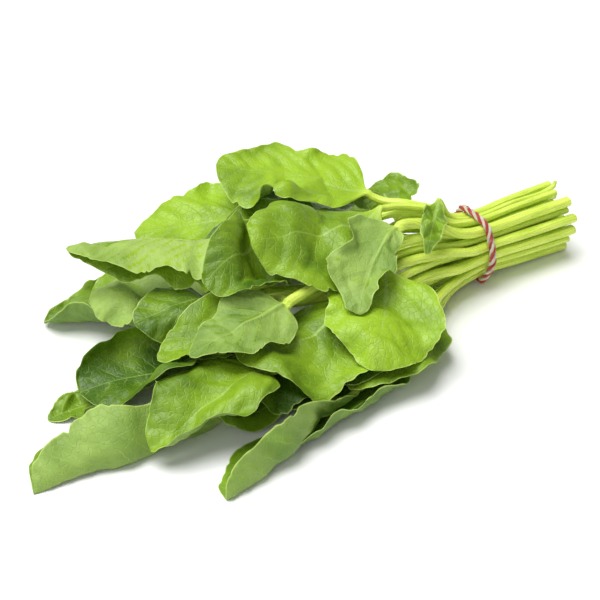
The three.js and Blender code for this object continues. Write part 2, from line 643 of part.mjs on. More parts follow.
// A knot beside the strand and two short ends hanging from it, at the back of the bunch.
function knotSolids(points) {
  const at = points[Math.round((knotAngle / (Math.PI * 2)) * points.length)];
  const out = new THREE.Vector3(0, Math.cos(knotAngle), Math.sin(knotAngle));
  const centre = at.clone().addScaledVector(out, knotRadius - twineRadius + 0.1);
  const rings = [];
  for (let i = 1; i < 8; i++) {
    const a = (i / 8) * Math.PI;
    rings.push(Array.from({ length: 12 }, (_, k) => {
      const b = (k / 12) * Math.PI * 2;
      const ring = new THREE.Vector3(-Math.cos(a), Math.sin(a) * Math.cos(b), Math.sin(a) * Math.sin(b));
      return centre.clone().addScaledVector(ring, knotRadius);
    }));
  }
  const pole = new THREE.Vector3(knotRadius, 0, 0);
  const solids = [solidOf(skin(rings, centre.clone().sub(pole), centre.clone().add(pole)))];
  tailDrops.forEach((drop, i) => {
    const side = i ? 1 : -1;
    const line = new THREE.QuadraticBezierCurve3(
      centre,
      centre.clone().add(new THREE.Vector3(side * tailSpread * 0.6, knotRadius * 2.2, 1)),
      centre.clone().add(new THREE.Vector3(side * tailSpread, knotRadius * 1.7, -drop)),
    );
    solids.push(solidOf(tube(line.getPoints(7), tailRadius, false)));
  });
  return solids;
}

function solidOf(geometry) {
  return new wasm.Manifold(new wasm.Mesh({
    numProp: 3,
    vertProperties: new Float32Array(geometry.attributes.position.array),
    triVerts: new Uint32Array(geometry.index.array),
  }));
}

function geometryOf(solid) {
  const mesh = solid.getMesh();
  const geometry = new THREE.BufferGeometry();
  geometry.setAttribute("position", new THREE.Float32BufferAttribute(mesh.vertProperties, 3));
  geometry.setIndex(new THREE.BufferAttribute(mesh.triVerts, 1));
  geometry.computeVertexNormals();
  return geometry;
}

const leafPaint = new THREE.MeshStandardMaterial({ color: 0x6f9a2c, roughness: 0.55, metalness: 0 });
const twinePaint = new THREE.MeshStandardMaterial({ color: 0xc8635c, roughness: 0.9, metalness: 0 });

const bunch = new THREE.Group();
bunch.name = "spinach_bunch";

for (const leaf of leaves) {
  const shape = leafRings(leaf);
  settle(leaf, shape);
  const mesh = new THREE.Mesh(skin(shape.rings, shape.first, shape.last), leafPaint);
  mesh.name = leaf.name;
  bunch.add(mesh);
}

const strand = twinePoints();
const twineSolid = wasm.Manifold.union([solidOf(tube(strand, twineRadius, true)), ...knotSolids(strand)]);
const twine = new THREE.Mesh(geometryOf(twineSolid), twinePaint);
twine.name = "twine_tie";
bunch.add(twine);

// The origin is on the table, under the middle of the bunch.
const bounds = new THREE.Box3().setFromObject(bunch);
const middle = bounds.getCenter(new THREE.Vector3());
for (const mesh of bunch.children) {
  mesh.geometry.translate(-middle.x, -middle.y, -bounds.min.z);
}

export default bunch;
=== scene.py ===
import math

import bpy
import numpy as np
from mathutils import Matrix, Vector
from mathutils.bvhtree import BVHTree


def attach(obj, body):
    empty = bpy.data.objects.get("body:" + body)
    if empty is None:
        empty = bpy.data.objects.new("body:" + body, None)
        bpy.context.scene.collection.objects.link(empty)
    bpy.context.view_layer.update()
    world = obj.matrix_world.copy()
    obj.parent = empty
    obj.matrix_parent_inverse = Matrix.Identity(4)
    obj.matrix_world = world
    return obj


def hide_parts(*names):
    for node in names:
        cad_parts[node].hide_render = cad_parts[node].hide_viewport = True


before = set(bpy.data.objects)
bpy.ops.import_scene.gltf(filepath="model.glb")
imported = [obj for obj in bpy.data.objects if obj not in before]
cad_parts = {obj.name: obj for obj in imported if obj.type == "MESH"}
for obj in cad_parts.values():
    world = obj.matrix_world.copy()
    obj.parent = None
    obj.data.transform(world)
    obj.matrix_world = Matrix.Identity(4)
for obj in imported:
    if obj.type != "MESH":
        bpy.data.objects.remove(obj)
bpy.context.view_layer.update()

mm = 0.001
scene = bpy.context.scene
leafNames = sorted(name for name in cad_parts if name.startswith("leaf_"))
print("frame loaded:", len(leafNames), "leaves and the twine")

# camera: looks down on the bunch from the leaf side
view = {
    "turn": -34,          # degrees round the bunch
    "height": 35,         # degrees above the table
    "aim": (0.0181, 0.0120, 0.0),
    "distance": 0.8958,
    "lens": 117.4,
}


def makeCamera():
    turn, height = math.radians(view["turn"]), math.radians(view["height"])
    back = Vector((math.sin(turn) * math.cos(height), -math.cos(turn) * math.cos(height), math.sin(height)))
    data = bpy.data.cameras.new("tableCamera")
    data.lens = view["lens"]
    data.sensor_width = 36
    data.clip_start, data.clip_end = 0.05, 20
    camera = bpy.data.objects.new("tableCamera", data)
    camera.location = Vector(view["aim"]) + back * view["distance"]
    camera.rotation_mode = "QUATERNION"
    camera.rotation_quaternion = (-back).to_track_quat("-Z", "Y")
    scene.collection.objects.link(camera)
    scene.camera = camera


makeCamera()
print("camera placed")


def smoothStep(x, low, high):
    f = np.clip((x - low) / (high - low), 0, 1)
    return f * f * (3 - 2 * f)


def curveThrough(marks, values, where):
    # smooth curve through values[k] at marks[k], read at each place in where
    marks = np.asarray(marks, float)
    where = np.asarray(where, float)
    step = np.diff(marks)
    wide = step.reshape((-1,) + (1,) * (values.ndim - 1))
    slope = np.diff(values, axis=0) / wide
    tangent = np.empty_like(values)
    tangent[1:-1] = (slope[:-1] * wide[1:] + slope[1:] * wide[:-1]) / (wide[1:] + wide[:-1])
    tangent[0], tangent[-1] = slope[0], slope[-1]
    k = np.clip(np.searchsorted(marks, where, side="right") - 1, 0, len(step) - 1)
    f = ((where - marks[k]) / step[k]).reshape((-1,) + (1,) * (values.ndim - 1))
    h = wide[k]
    a = values[k] * (2 * f**3 - 3 * f**2 + 1) + tangent[k] * h * (f**3 - 2 * f**2 + f)
    return a + values[k + 1] * (3 * f**2 - 2 * f**3) + tangent[k + 1] * h * (f**3 - f**2)


def ripple(x, seed, turns):
    # gentle uneven wave between about -1 and 1
    chance = np.random.default_rng(seed)
    total = np.zeros_like(x)
    for k in range(4):
        total += np.sin(2 * np.pi * (x * turns * chance.uniform(0.55, 1.5) + chance.random())) * (0.8 - 0.13 * k)
    return total / 1.7


def patches(x, y, seed, size):
    # uneven dents and swellings of about this size over a surface
    chance = np.random.default_rng(seed)
    total = np.zeros_like(x)
    for k in range(6):
        heading = chance.uniform(0, 2 * np.pi)
        reach = size * chance.uniform(0.7, 1.8)
        total += np.sin(2 * np.pi * ((x * math.cos(heading) + y * math.sin(heading)) / reach + chance.random()))
    return total / 3


def creases(x, y, seed, count, size):
    # a few fold lines lying across a surface, each a soft ridge or valley that dies out at its ends
    chance = np.random.default_rng(seed)
    total = np.zeros_like(x)
    for _ in range(count):
        heading = chance.uniform(0, np.pi)
        midX, midY = chance.uniform(x.min(), x.max()), chance.uniform(y.min(), y.max())
        off = (x - midX) * math.cos(heading) + (y - midY) * math.sin(heading)
        along = (y - midY) * math.cos(heading) - (x - midX) * math.sin(heading)
        wide, reach = size * chance.uniform(0.12, 0.3), size * chance.uniform(0.6, 1.4)
        crest = np.exp(-(np.sqrt(off**2 + (0.15 * wide) ** 2) / wide))
        total += chance.choice([-1, 1]) * chance.uniform(0.5, 1) * crest * np.exp(-((along / reach) ** 2))
    return total


def unit(v):
    return v / np.maximum(np.linalg.norm(v, axis=-1, keepdims=True), 1e-12)


def distancesAlong(path):
    # how far along a path each of its points is
    return np.concatenate([[0], np.cumsum(np.linalg.norm(np.diff(path, axis=0), axis=1))])


def smoothMesh(name, points, faces):
    mesh = bpy.data.meshes.new(name)
    mesh.from_pydata(points.tolist(), [], faces)
    mesh.polygons.foreach_set("use_smooth", [True] * len(faces))
    return mesh


def storeValues(mesh, name, domain, values):
    mesh.attributes.new(name, "FLOAT", domain).data.foreach_set("value", np.asarray(values, np.float32))


def addPiece(name, mesh, node):
    # a piece rides on the body and stands in for one CAD node
    piece = bpy.data.objects.new(name, mesh)
    scene.collection.objects.link(piece)
    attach(piece, "root")
    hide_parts(node)
    return piece


ringSize = 12            # points round each CAD leaf
lowest = 0.1 * mm        # nothing grown goes nearer to the table than this
bladeMarks = [0.03, 0.1, 0.19, 0.29, 0.39, 0.49, 0.59, 0.69, 0.78, 0.86, 0.93, 0.985]
acrossMarks = [-1, -0.7, -0.38, 0, 0.38, 0.7, 1]


def weldedMesh(name):
    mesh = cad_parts[name].data
    places = np.empty(len(mesh.vertices) * 3, np.float32)
    mesh.vertices.foreach_get("co", places)
    places = places.reshape(-1, 3).astype(float)
    inMicrons = np.round(places * 1e6).astype(np.int64)
    _, first, same = np.unique(inMicrons, axis=0, return_index=True, return_inverse=True)
    corners = np.empty(len(mesh.loops), np.int64)
    mesh.loops.foreach_get("vertex_index", corners)
    return places[first], same.ravel()[corners].reshape(-1, 3)


def ringsOf(name):
    places, triangles = weldedMesh(name)
    joined = [set() for _ in places]
    third = {}
    for a, b, c in triangles.tolist():
        for p, q, r in ((a, b, c), (b, c, a), (c, a, b)):
            joined[p].add(q)
            joined[q].add(p)
            third[p, q] = r
    ends = [i for i, near in enumerate(joined) if len(near) == ringSize]
    start = max(ends, key=lambda i: places[i][0])
    stop = min(ends, key=lambda i: places[i][0])
    before = {q: third[start, q] for q in joined[start]}
    after = {p: q for q, p in before.items()}
    ring = [min(joined[start], key=lambda i: places[i][1])]
    while len(ring) < ringSize:
        ring.append(after[ring[-1]])
    rings = [ring]
    half = ringSize // 2
    while True:
        beyond = [third[ring[i], ring[(i + 1) % ringSize]] for i in range(ringSize)]
        if beyond[0] == stop:
            break
        # the far margin is reached from the last upper face, the lower side is one step behind
        margin = third[beyond[half - 1], ring[half]]
        ring = beyond[:half] + [margin] + beyond[half:-1]
        rings.append(ring)
    return np.array([places[r] for r in rings]), places[stop]


leafRings = {name: ringsOf(name) for name in leafNames}
print("leaf rings read:", sum(len(r[0]) for r in leafRings.values()))


leafStyle = {
    "thickness": 0.42 * mm,
    "rowsOnBlade": 108,
    "pointsAcross": 43,
    "stalkStep": 2.4 * mm,
    "midribHeight": 1.15 * mm,   # how far the midrib stands out under the blade at its base
    "midribWidth": 1.15 * mm,
    "veinSpacing": 9.0 * mm,
    "veinSlant": 1.0,            # how far a side vein runs forward for each step sideways
    "quilting": 0.5 * mm,       # swelling of the blade between the side veins
    "veinDepth": 0.26 * mm,
    "veinWidth": 0.55 * mm,
    "ruffle": 1.8 * mm,          # long waves of the margin
    "ruffleLength": 24 * mm,
    "crinkle": 0.4 * mm,         # short waves of the margin
    "crinkleLength": 7 * mm,
    "dents": 1.2 * mm,
    "dentSize": 30 * mm,
    "creases": 3.4 * mm,
    "creaseCount": 14,
    "edgeWobble": 0.05,
    "tableGap": 0.4 * mm,
    "nicks": 4,                  # small tears in each margin
    "groove": 0.15,              # depth of the channel along a stalk, as a share of its radius
    "ribbing": 0.022,            # depth of the fine ribs along a stalk, as a share of its radius
    "flatAfter": 0.13,           # share of the blade over which the round stalk turns flat
}

# what sets single leaves apart: tone is 0 for dark and 1 for light, partly the leaf's own green and partly painted
# shade on leaves that lie in the shadow of others, ruffle multiplies the usual amount, notches are (side, place
# along the blade, depth, length) with side 1 for left and -1 for right
leafTraits = {
    "leaf_30": {"toneAndShade": 0.95, "ruffle": 1.2, "notches": [(-1, 0.55, 0.16, 0.05), (1, 0.8, 0.06, 0.04)]},
    "leaf_29": {"toneAndShade": 0.64, "ruffle": 0.9},
    "leaf_28": {"toneAndShade": 0.7, "ruffle": 1.5, "notches": [(1, 0.45, 0.15, 0.05), (1, 0.7, 0.12, 0.04)]},
    "leaf_24": {"toneAndShade": 0.92, "ruffle": 0.9},
    "leaf_27": {"toneAndShade": 0.95, "ruffle": 0.7},
    "leaf_26": {"toneAndShade": 0.38, "ruffle": 0.9},
    "leaf_25": {"toneAndShade": 0.5, "ruffle": 0.6},
    "leaf_23": {"toneAndShade": 0.5, "ruffle": 1.4},
    "leaf_22": {"toneAndShade": 0.05, "ruffle": 1.5},
    "leaf_21": {"toneAndShade": 0.4},
    "leaf_20": {"toneAndShade": 0.35},
    "leaf_19": {"toneAndShade": 0.75, "notches": [(-1, 0.6, 0.1, 0.05)]},
    "leaf_17": {"toneAndShade": 1.0, "ruffle": 1.1},
    "leaf_16": {"toneAndShade": 0.9, "ruffle": 0.6},
    "leaf_15": {"toneAndShade": 0.27},
    "leaf_14": {"toneAndShade": 0.42},
    "leaf_13": {"toneAndShade": 0.25},
    "leaf_09": {"toneAndShade": 0.1},
    "leaf_06": {"toneAndShade": 0.3, "ruffle": 1.5},
    "leaf_05": {"toneAndShade": 0.12, "notches": [(-1, 0.6, 0.16, 0.05), (-1, 0.8, 0.12, 0.04)]},
    "leaf_04": {"toneAndShade": 0.55},
    "leaf_02": {"toneAndShade": 0.65},
    "leaf_01": {"toneAndShade": 0.25, "notches": [(1, 0.5, 0.12, 0.05)]},
}


def traitOf(name, trait, usual):
    return leafTraits.get(name, {}).get(trait, usual)


def roundAngles(across):
    # the place on a round stalk that each place across the blade grows out of, top side
    return np.interp(-across, acrossMarks, np.radians([0, 30, 60, 90, 120, 150, 180]))


def acrossPlaces(count):
    # closer together near the midrib, and two narrow steps at each margin
    f = np.linspace(1, -1, count - 4)
    inner = 0.955 * np.sign(f) * (0.62 * np.abs(f) + 0.38 * f**2)
    return np.concatenate([[1, 0.985], inner, [-0.985, -1]])


def fineRing(ring, angles):
    # a CAD ring of twelve points read as a smooth closed curve
    marks = np.arange(-2, ringSize + 3) * (2 * np.pi / ringSize)
    wrapped = ring[np.arange(-2, ringSize + 3) % ringSize]
    return curveThrough(marks, wrapped, angles)


def roomAround(tree, places, normals, reach):
    # free distance along each normal before another leaf or the table is met
    up = np.full(len(places), reach)
    down = np.full(len(places), reach)
    for i, (p, n) in enumerate(zip(places, normals)):
        start, heading = Vector(p), Vector(n)
        hit = tree.ray_cast(start, heading, reach)
        if hit[0] is not None:
            up[i] = hit[3]
        hit = tree.ray_cast(start, -heading, reach)
        if hit[0] is not None:
            down[i] = hit[3]
    return up, down


def neighboursOf(grid):
    # the grid shifted to each of its eight neighbours and itself
    padded = np.pad(grid, 1, mode="edge")
    rows, columns = grid.shape
    return [padded[a:a + rows, b:b + columns] for a in range(3) for b in range(3)]


def spreadLow(grid, times):
    # the smallest of each place and its neighbours, then smoothed
    for _ in range(times):
        grid = np.min(neighboursOf(grid), axis=0)
    for _ in range(times + 1):
        grid = np.mean(neighboursOf(grid), axis=0)
    return grid


def treeOfOthers(name):
    places, faces = [(-1, -1, 0), (1, -1, 0), (1, 1, 0), (-1, 1, 0)], [(0, 1, 2), (0, 2, 3)]
    for other in leafNames:
        if other == name:
            continue
        points, triangles = weldedMesh(other)
        faces += [tuple(t) for t in (triangles + len(places)).tolist()]
        places += [tuple(p) for p in points.tolist()]
    return BVHTree.FromPolygons(places, faces)


def middleSheet(rings, tip):
    # the sheet halfway through the CAD blade: rows from base to tip, columns from right margin to left
    half = ringSize // 2
    base = rings[-len(bladeMarks) - 1].mean(axis=0)
    rows = [np.repeat(base[None], len(acrossMarks), axis=0)]
    for ring in rings[-len(bladeMarks):]:
        top, under = ring[:half + 1], np.concatenate([ring[:1], ring[:half:-1], ring[half:half + 1]])
        gap = under - top
        deep = np.linalg.norm(gap, axis=1, keepdims=True)
        middle = top + gap * np.minimum(0.4 * mm / np.maximum(deep, 1e-9), 0.5)
        rows.append(middle[::-1])
    rows.append(np.repeat(tip[None], len(acrossMarks), axis=0))
    return np.array(rows)


def shapeBlade(name, number, rings, tip):
    style = leafStyle
    rows = style["rowsOnBlade"]
    t = np.linspace(0, 1, rows + 1)[1:-1]
    t = t - 0.035 * np.sin(2 * np.pi * t)     # rows are closer at the base and the tip
    s = acrossPlaces(style["pointsAcross"])
    net = middleSheet(rings, tip)
    columns = curveThrough([0] + bladeMarks + [1], net, t)
    length = np.linalg.norm(np.diff(columns[:, 3], axis=0), axis=1).sum()
    half = {}
    half[1] = np.linalg.norm(np.diff(columns[:, 3:], axis=1), axis=2).sum(axis=1)
    half[-1] = np.linalg.norm(np.diff(columns[:, :4], axis=1), axis=2).sum(axis=1)

    # an uneven outline: the margin wanders in and out, with small notches
    wander = {}
    for side in (1, -1):
        slow, quick = ripple(t, number * 11 + side, 3), ripple(t, number * 13 + side, 11)
        edge = -style["edgeWobble"] * (0.8 + 0.9 * slow + 0.25 * quick)
        for where, place, depth, wide in traitOf(name, "notches", []):
            if where == side:
                edge -= depth * np.exp(-np.abs((t - place) / wide) ** 1.3)
        chance = np.random.default_rng(number * 23 + side)
        for place in chance.uniform(0.2, 0.95, style["nicks"]):
            edge -= chance.uniform(0.02, 0.07) * np.maximum(0, 1 - np.abs(t - place) / chance.uniform(0.012, 0.03))
        wander[side] = np.minimum(edge, 0)
    sheet = np.empty((len(t), len(s), 3))
    for i in range(len(t)):
        edge = np.where(s > 0, wander[1][i], wander[-1][i])
        sheet[i] = curveThrough(acrossMarks, columns[i], s * (1 + edge * s * s))
    return t, s, sheet, length, half


def normalsOf(sheet):
    along = np.gradient(sheet, axis=0)
    across = np.gradient(sheet, axis=1)
    return unit(np.cross(across, along))


class Leaf:
    # one leaf while it grows: t runs along the blade, s across it from one margin (1) to the other (-1)
    def __init__(self, name):
        self.name, self.number = name, int(name[-2:])
        rings, self.tip = leafRings[name]
        self.stalkRings = rings[:-len(bladeMarks)]
        self.t, self.s, self.sheet, self.length, half = shapeBlade(name, self.number, rings, self.tip)

        # distances in metres over the blade, and how many side veins each place is past
        self.size = np.abs(self.s)[None]
        self.halfHere = np.where(self.s[None] > 0, half[1][:, None], half[-1][:, None])
        self.outward = self.size * self.halfHere
        self.forward = np.broadcast_to((self.t * self.length)[:, None], self.outward.shape)
        self.signed = np.where(self.s > 0, 1.0, -1.0)[None] * self.outward
        side = np.tanh(self.s / 0.06)[None]
        reached = self.forward - leafStyle["veinSlant"] * self.outward * (0.75 + 0.35 * self.size)
        self.phase = reached / leafStyle["veinSpacing"] + 0.22 * side + self.number * 0.37
        self.ends = smoothStep(self.t, 0.02, 0.2)[:, None]

        # the whole way round, along the upper side and back below, and how deep a stalk is cut in there
        angles = roundAngles(self.s)
        self.around = np.concatenate([angles, (2 * np.pi - angles)[-2:0:-1]])
        self.count = len(self.around)
        channel = np.exp(-(((self.around - np.pi / 2) / 0.55) ** 2)) * leafStyle["groove"]
        self.cutIn = channel + leafStyle["ribbing"] * (1 + np.cos(self.around * 9 + self.number))

    def relief(self):
        # how far the blade leaves its smooth sheet: ruffled margins, dents, folds, quilting between the veins
        style, size = leafStyle, self.size
        fade = np.sin(np.pi * self.t)[:, None] ** 0.6
        ruffle, crinkle = np.zeros_like(self.outward), np.zeros_like(self.outward)
        along = np.broadcast_to(self.t[:, None], self.outward.shape)
        for sign in (1, -1):
            mask = (self.s * sign > 0)[None]
            seed = self.number * 17 + sign
            ruffle += np.where(mask, ripple(along, seed, self.length / style["ruffleLength"]), 0)
            short = ripple(along + 0.1 * size, seed + 400, self.length / style["crinkleLength"])
            crinkle += np.where(mask, short, 0)
        lively = traitOf(self.name, "ruffle", 1)
        lift = style["ruffle"] * lively * ruffle * size**2.4 * fade
        lift += style["crinkle"] * lively * crinkle * size**4 * fade
        dents = patches(self.forward, self.signed, self.number * 31, style["dentSize"]) * (0.35 + 0.65 * size)
        lift += style["dents"] * dents * self.ends
        folds = creases(self.forward, self.signed, self.number * 41, style["creaseCount"], self.length * 0.35)
        lift += style["creases"] * folds * self.ends * fade
        between = 0.5 - 0.5 * np.cos(2 * np.pi * self.phase)
        quilted = smoothStep(size, 0.08, 0.3) * (1 - 0.6 * smoothStep(size, 0.75, 1))
        return lift + style["quilting"] * (between - 0.5) * quilted * self.ends

    def raiseRelief(self):
        # the relief is held back where another leaf or the table is near
        lift, normals = self.relief(), normalsOf(self.sheet)
        free = roomAround(treeOfOthers(self.name), self.sheet.reshape(-1, 3), normals.reshape(-1, 3), 8 * mm)
        up, down = (spreadLow(np.maximum(f.reshape(lift.shape) * 0.5 - 0.15 * mm, 0.02 * mm), 2) for f in free)
        lift = np.where(lift > 0, up * np.tanh(lift / up), -down * np.tanh(-lift / down))
        self.sheet = self.sheet + normals * lift[..., None]
        self.sheet[..., 2] = np.maximum(self.sheet[..., 2], leafStyle["tableGap"])

    def twoSides(self):
        # upper and under side: midrib and side veins stand out below and are sunk above
        style, size, normals = leafStyle, self.size, normalsOf(self.sheet)
        thin = style["thickness"] * 0.5 * (1 - 0.55 * smoothStep(size, 0.9, 1))
        taper = (1 - 0.82 * smoothStep(self.t, 0.0, 0.95))[:, None]
        ribWidth = style["midribWidth"] * (0.45 + 0.55 * taper)
        rib = np.exp(-((self.outward / ribWidth) ** 2)) * style["midribHeight"] * taper
        nearVein = np.abs(self.phase - np.round(self.phase))
        vein = np.exp(-((nearVein * style["veinSpacing"] / style["veinWidth"]) ** 2))
        vein *= smoothStep(size, 0.02, 0.1) * (1 - smoothStep(size, 0.8, 0.97))
        vein = vein * style["veinDepth"] * (1.2 - 0.7 * size) * self.ends
        top = self.sheet + normals * (thin - 0.16 * rib - 0.7 * vein)[..., None]
        under = self.sheet - normals * (thin + rib + vein)[..., None]
        under[..., 2] = np.maximum(under[..., 2], 0.5 * style["tableGap"])
        top[..., 2] = np.maximum(top[..., 2], under[..., 2])
        return top, under

    def bladeRows(self):
        # at the base of the blade the stalk's round end flattens into it
        flat = smoothStep(self.t, 0, leafStyle["flatAfter"])
        shrink = (1 - 0.35 * flat)[:, None, None]
        flat = flat[:, None, None]
        lastRing = self.stalkRings[-1]
        centre = lastRing.mean(axis=0)
        shift = (self.sheet[:, len(self.s) // 2] - centre)[:, None]
        angles = roundAngles(self.s)
        joined = []
        for side, turn in zip(self.twoSides(), (angles, 2 * np.pi - angles)):
            rounded = (fineRing(lastRing, turn) - centre)[None] * shrink + centre + shift
            joined.append(rounded * (1 - flat) + side * flat)
        rows = np.concatenate([joined[0], joined[1][:, -2:0:-1]], axis=1)
        scale = 1 - self.cutIn[None] * (1 - smoothStep(self.t, 0, 0.1))[:, None]
        middle = rows.mean(axis=1)[:, None]
        return middle + (rows - middle) * scale[..., None]

    def stalkRows(self):
        # rows from the cut end to the blade
        marks = distancesAlong(self.stalkRings.mean(axis=1))
        self.places = np.linspace(0, marks[-1], max(6, int(marks[-1] / leafStyle["stalkStep"])))
        coarse = curveThrough(marks, self.stalkRings, self.places)
        fine = np.array([fineRing(ring, self.around) for ring in coarse])
        centres = coarse.mean(axis=1)[:, None]
        swell = 1 + 0.025 * ripple(self.places / 0.03, self.number * 7, 1)[:, None]
        return centres + (fine - centres) * ((1 - self.cutIn[None]) * swell)[..., None]

    def grow(self):
        self.raiseRelief()
        bladeRows, fine = self.bladeRows(), self.stalkRows()

        # cut end: the flat cut, then a small rounded rim
        middle = fine[0].mean(axis=0)
        outwardEnd = unit(middle - fine[1].mean(axis=0))
        cutSteps = ((0.45, 0.1 * mm), (0.86, 0.0), (0.97, 0.08 * mm))     # share of the radius, depth
        rims = [middle + (fine[0] - middle) * k - outwardEnd * d for k, d in cutSteps]
        fine[0] = fine[0] - outwardEnd * 0.3 * mm
        rows = np.concatenate([np.array(rims), fine[:-1], bladeRows])
        points = np.concatenate([(middle - outwardEnd * 0.15 * mm)[None], rows.reshape(-1, 3), self.tip[None]])
        points[:, 2] = np.maximum(points[:, 2], lowest)
        self.rowCount = len(rows)
        self.stalkCount = len(rows) - len(self.t)

        index = 1 + np.arange(len(rows) * self.count).reshape(len(rows), self.count)
        following = np.roll(index, -1, axis=1)
        quads = np.stack([index[:-1], following[:-1], following[1:], index[1:]], axis=-1).reshape(-1, 4)
        last = len(points) - 1
        faces = [(0, int(b), int(a)) for a, b in zip(index[0], following[0])]
        faces += [tuple(q) for q in quads.tolist()]
        faces += [(last, int(a), int(b)) for a, b in zip(index[-1], following[-1])]
        self.mesh = smoothMesh(self.name + "_grown", points, faces)

    def sharpenMargins(self):
        # so that the light on one side doesn't run over to the other
        joins = np.empty(len(self.mesh.edges) * 2, np.int32)
        self.mesh.edges.foreach_get("vertices", joins)
        joins = joins.reshape(-1, 2) - 1
        place, row = joins % self.count, joins // self.count
        onMargin = (place[:, 0] == place[:, 1]) & np.isin(place[:, 0], (0, len(self.s) - 1))
        onMargin &= (row.min(axis=1) >= self.stalkCount + 8) & (joins.max(axis=1) < self.rowCount * self.count)
        self.mesh.edges.foreach_set("use_edge_sharp", onMargin)

    def gather(self, stalkValue, blade, tipValue):
        # one value for each point; values known across the blade are read back again along its underside
        if blade.shape[1] != self.count:
            blade = np.concatenate([blade, blade[:, -2:0:-1]], axis=1)
        body = np.concatenate([np.broadcast_to(stalkValue, (self.stalkCount, self.count)), blade])
        return np.concatenate([[body[0, 0]], body.ravel(), [tipValue]])

    def tellFinish(self):
        # what the finish needs to know at each point and on each face
        full = np.ones((1, self.count))
        stalkAlong = np.concatenate([[0, 0, 0], self.places[:-1]])[:, None] - self.places[-1]
        girth = self.around[None] * 2.5 * mm
        onBlade = smoothStep(self.t, 0.0, 0.12)[:, None] * full
        values = {
            "onBlade": self.gather(0.0, onBlade, 1.0),
            "fromMidrib": self.gather(0.0, self.outward / mm, 0.0),
            "veinPhase": self.gather(0.0, self.phase, self.phase[-1, 0]),
            "fromEdge": self.gather(20.0, (self.halfHere - self.outward) / mm, 0.0),
            "alongLeaf": self.gather(stalkAlong / mm, self.forward / mm, self.length / mm),
            "roundLeaf": self.gather(girth / mm, self.signed / mm, 0.0),
            "towardTip": self.gather(0.0, self.t[:, None] * full, 1.0),
        }
        for key, value in values.items():
            storeValues(self.mesh, key, "POINT", value)
        faceCount, count = len(self.mesh.polygons), self.count
        under, cut = np.zeros(faceCount), np.zeros(faceCount)
        column = np.tile(np.arange(count), self.rowCount - 1)
        row = np.repeat(np.arange(self.rowCount - 1), count)
        under[count:-count] = (column >= len(self.s) - 1) & (row >= self.stalkCount)
        under[-count:] = np.arange(count) >= len(self.s) - 1
        cut[:count] = 1
        cut[count:-count] = row < 2
        storeValues(self.mesh, "underside", "FACE", under)
        storeValues(self.mesh, "cutEnd", "FACE", cut)
        # the tone is partly the leaf's own green and partly painted shade on leaves that lie in the shadow of
        # others
        toneAndShade = traitOf(self.name, "toneAndShade", 0.3 + 0.4 * ((self.number * 0.618) % 1))
        storeValues(self.mesh, "leafToneAndShade", "FACE", np.full(faceCount, toneAndShade))


def buildLeaf(name):
    leaf = Leaf(name)
    leaf.grow()
    leaf.sharpenMargins()
    leaf.tellFinish()
    leaf.mesh.validate()
    return addPiece("spinach_" + name, leaf.mesh, name)


leafPieces = [buildLeaf(name) for name in leafNames]
print("leaves grown:", len(leafPieces), "with", sum(len(p.data.polygons) for p in leafPieces), "faces")


leafColours = {
    "upperDark": (0.050, 0.128, 0.002),
    "upperLight": (0.325, 0.535, 0.016),
    "underDark": (0.120, 0.235, 0.020),
    "underLight": (0.370, 0.540, 0.110),
    "vein": (0.370, 0.550, 0.110),
    "stalk": (0.800, 0.950, 0.160),
    "stalkDark": (0.540, 0.740, 0.060),
    "cut": (0.660, 0.780, 0.220),
    "cutRim": (0.420, 0.580, 0.080),
    # painted highlight: the pale line laid along each margin where the rim catches the light
    "margin": (0.520, 0.700, 0.160),
}


class Wiring:
    # shorthand for building a node tree
    def __init__(self, tree):
        self.tree = tree

    def put(self, kind, **settings):
        node = self.tree.nodes.new(kind)
        for key, value in settings.items():
            setattr(node, key, value)
        return node

    def link(self, value, socket):
        if isinstance(value, bpy.types.NodeSocket):
            self.tree.links.new(value, socket)
        else:
            socket.default_value = value

    def attribute(self, name):
        return self.put("ShaderNodeAttribute", attribute_name=name).outputs["Fac"]

    def maths(self, operation, a, b=0.0, clamp=False):
        node = self.put("ShaderNodeMath", operation=operation, use_clamp=clamp)
        self.link(a, node.inputs[0])
        self.link(b, node.inputs[1])
        return node.outputs[0]

    def ramp(self, value, low, high, atLow=0.0, atHigh=1.0):
        node = self.put("ShaderNodeMapRange", interpolation_type="SMOOTHSTEP")
        for socket, v in zip(node.inputs, (value, low, high, atLow, atHigh)):
            self.link(v, socket)
        return node.outputs[0]

    def mix(self, share, a, b, blend="MIX"):
        node = self.put("ShaderNodeMix", data_type="RGBA", blend_type=blend)
        self.link(share, node.inputs[0])
        self.link((*a, 1) if isinstance(a, tuple) else a, node.inputs[6])
        self.link((*b, 1) if isinstance(b, tuple) else b, node.inputs[7])
        return node.outputs[2]

    def point(self, x, y, z=0.0):
        node = self.put("ShaderNodeCombineXYZ")
        for socket, v in zip(node.inputs, (x, y, z)):
            self.link(v, socket)
        return node.outputs[0]

    def noise(self, place, scale, detail=3.0, rough=0.55):
        node = self.put("ShaderNodeTexNoise")
        self.link(place, node.inputs["Vector"])
        node.inputs["Scale"].default_value = scale
        node.inputs["Detail"].default_value = detail
        node.inputs["Roughness"].default_value = rough
        return node.outputs["Fac"]

    def bump(self, height, strength, distance, shader):
        node = self.put("ShaderNodeBump")
        node.inputs["Strength"].default_value = strength
        node.inputs["Distance"].default_value = distance
        self.link(height, node.inputs["Height"])
        self.link(node.outputs[0], shader.inputs["Normal"])


def plainFinish(name):
    material = bpy.data.materials.new(name)
    material.use_nodes = True
    return material, material.node_tree.nodes["Principled BSDF"], Wiring(material.node_tree)


